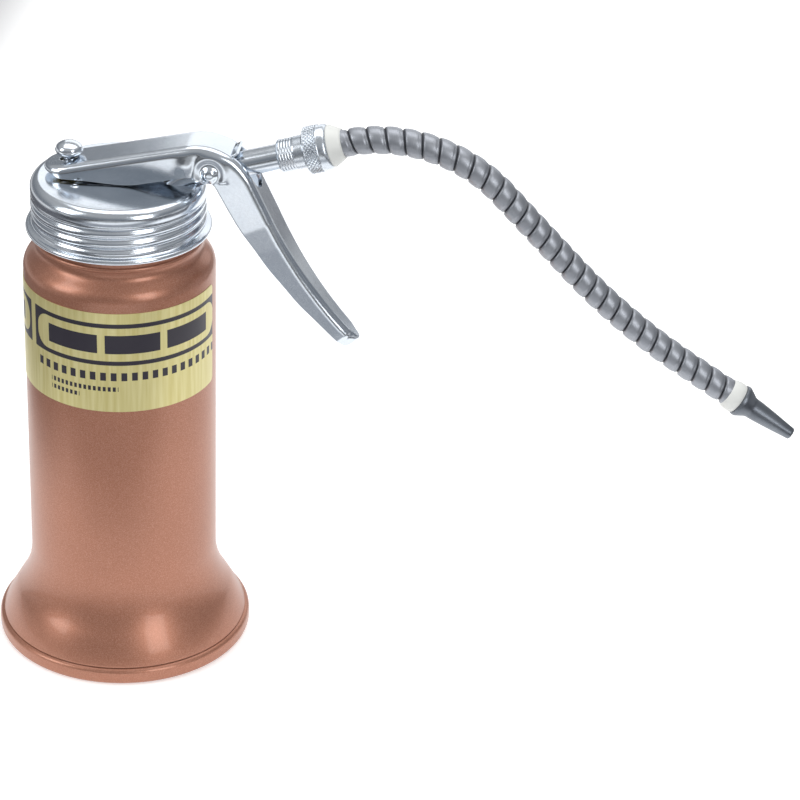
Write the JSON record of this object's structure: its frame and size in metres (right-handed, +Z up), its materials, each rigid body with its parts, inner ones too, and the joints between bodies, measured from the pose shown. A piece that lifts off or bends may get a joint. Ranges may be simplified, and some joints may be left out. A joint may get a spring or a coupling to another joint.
{
  "type": "pump oiler can",
  "caption": "Hand oiler can with a flared base, screw cap, stamped trigger lever working a lift pump, and a flexible metal spout.",
  "frame": {"origin": "centre of the base ring, at the surface the can stands on", "axes": "+Z up along the can's axis, +X along the plane of the lever and spout, towards the nozzle"},
  "size_m": [0.2457, 0.0792, 0.1779],
  "materials": {
    "copper_paint": "glossy copper metallic",
    "label_foil": "printed foil label, glossy",
    "zinc": "bright zinc plate",
    "casting": "as cast",
    "brass": "turned brass",
    "hose_metal": "satin wound strip",
    "nylon": "white plastic",
    "leather": "oiled leather",
    "gasket": "oil resistant gasket",
    "packing": "graphite packing",
    "steel": "polished steel ball and spring",
    "nozzle_metal": "dark plated steel"
  },
  "bodies": {
    "can": {"can_shell": "copper_paint", "can_bottom": "copper_paint", "base_ring": "copper_paint", "label": "label_foil"},
    "gasket": {"cap_gasket": "gasket"},
    "cap": {"screw_cap": "zinc", "gland_nut": "brass", "rod_packing": "packing", "pump_head": "casting", "pump_barrel": "brass", "foot_valve": "brass", "ball_retainer": "zinc", "suction_tube": "brass", "strainer": "brass", "spout_elbow": "zinc", "spout_tube": "zinc", "spout_ferrule": "zinc", "return_spring": "steel"},
    "plunger": {"pump_rod": "zinc", "rod_head": "zinc", "piston": "brass", "piston_cup": "leather", "piston_washer": "zinc", "piston_nut": "zinc"},
    "ball": {"valve_ball": "steel"},
    "lever": {"trigger_lever": "zinc"},
    "sleeve": {"hose_sleeve": "nylon", "liner_flange": "nylon"},
    "nut": {"spout_nut": "zinc"},
    "hose_a": {"liner_1": "nylon", "hose_1": "hose_metal"},
    "hose_b": {"liner_2": "nylon", "hose_2": "hose_metal"},
    "hose_c": {"liner_3": "nylon", "hose_3": "hose_metal"},
    "hose_d": {"liner_4": "nylon", "hose_4": "hose_metal"},
    "hose_e": {"liner_5": "nylon", "hose_5": "hose_metal", "tip_collar": "nylon", "nozzle": "nozzle_metal"}
  },
  "joints": [
    {"name": "cap_lift", "type": "slide", "parent": "can", "child": "gasket", "axis": [0, 0, 1], "range_m": [0, 0.0062]},
    {"name": "cap_turn", "type": "hinge", "parent": "gasket", "child": "cap", "pos_m": [0, 0, 0.15], "axis": [0, 0, 1], "range_deg": [0, 720]},
    {"name": "trigger", "type": "hinge", "parent": "cap", "child": "lever", "pos_m": [0.0348, 0, 0.1659], "axis": [0, 1, 0], "range_deg": [0, 15], "stiffness_Nm_per_rad": 1.2, "springref_deg": -14.32},
    {"name": "rod_lift", "type": "slide", "parent": "cap", "child": "plunger", "axis": [0, 0, 1], "range_m": [0, 0.0125], "deforming": ["return_spring"]},
    {"name": "ball_lift", "type": "slide", "parent": "cap", "child": "ball", "axis": [0, 0, 1], "range_m": [0, 0.001]},
    {"name": "spout_draw", "type": "slide", "parent": "cap", "child": "sleeve", "axis": [0.9563, 0, 0.2924], "range_m": [0, 0.004]},
    {"name": "nut_turn", "type": "hinge", "parent": "sleeve", "child": "nut", "pos_m": [0.05854, 0, 0.16903], "axis": [0.9563, 0, 0.2924], "range_deg": [0, 1440]},
    {"name": "spout_swivel", "type": "hinge", "parent": "sleeve", "child": "hose_a", "pos_m": [0.06734, 0, 0.17172], "axis": [0.9563, 0, 0.2924], "range_deg": [-90, 90]},
    {"name": "spout_bend_1", "type": "hinge", "parent": "hose_a", "child": "hose_b", "pos_m": [0.09271, 0, 0.17228], "axis": [0, 1, 0], "range_deg": [-12, 12]},
    {"name": "spout_bend_2", "type": "hinge", "parent": "hose_b", "child": "hose_c", "pos_m": [0.11463, 0, 0.15949], "axis": [0, 1, 0], "range_deg": [-12, 12]},
    {"name": "spout_bend_3", "type": "hinge", "parent": "hose_c", "child": "hose_d", "pos_m": [0.13605, 0, 0.13731], "axis": [0, 1, 0], "range_deg": [-12, 12]},
    {"name": "spout_bend_4", "type": "hinge", "parent": "hose_d", "child": "hose_e", "pos_m": [0.17192, 0, 0.10827], "axis": [0, 1, 0], "range_deg": [-12, 12]}
  ],
  "couplings": [
    {"joint": "cap_lift", "follows": "cap_turn", "m_per_rad": 0.00049338},
    {"joint": "rod_lift", "follows": "trigger", "m_per_rad": 0.0471}
  ]
}
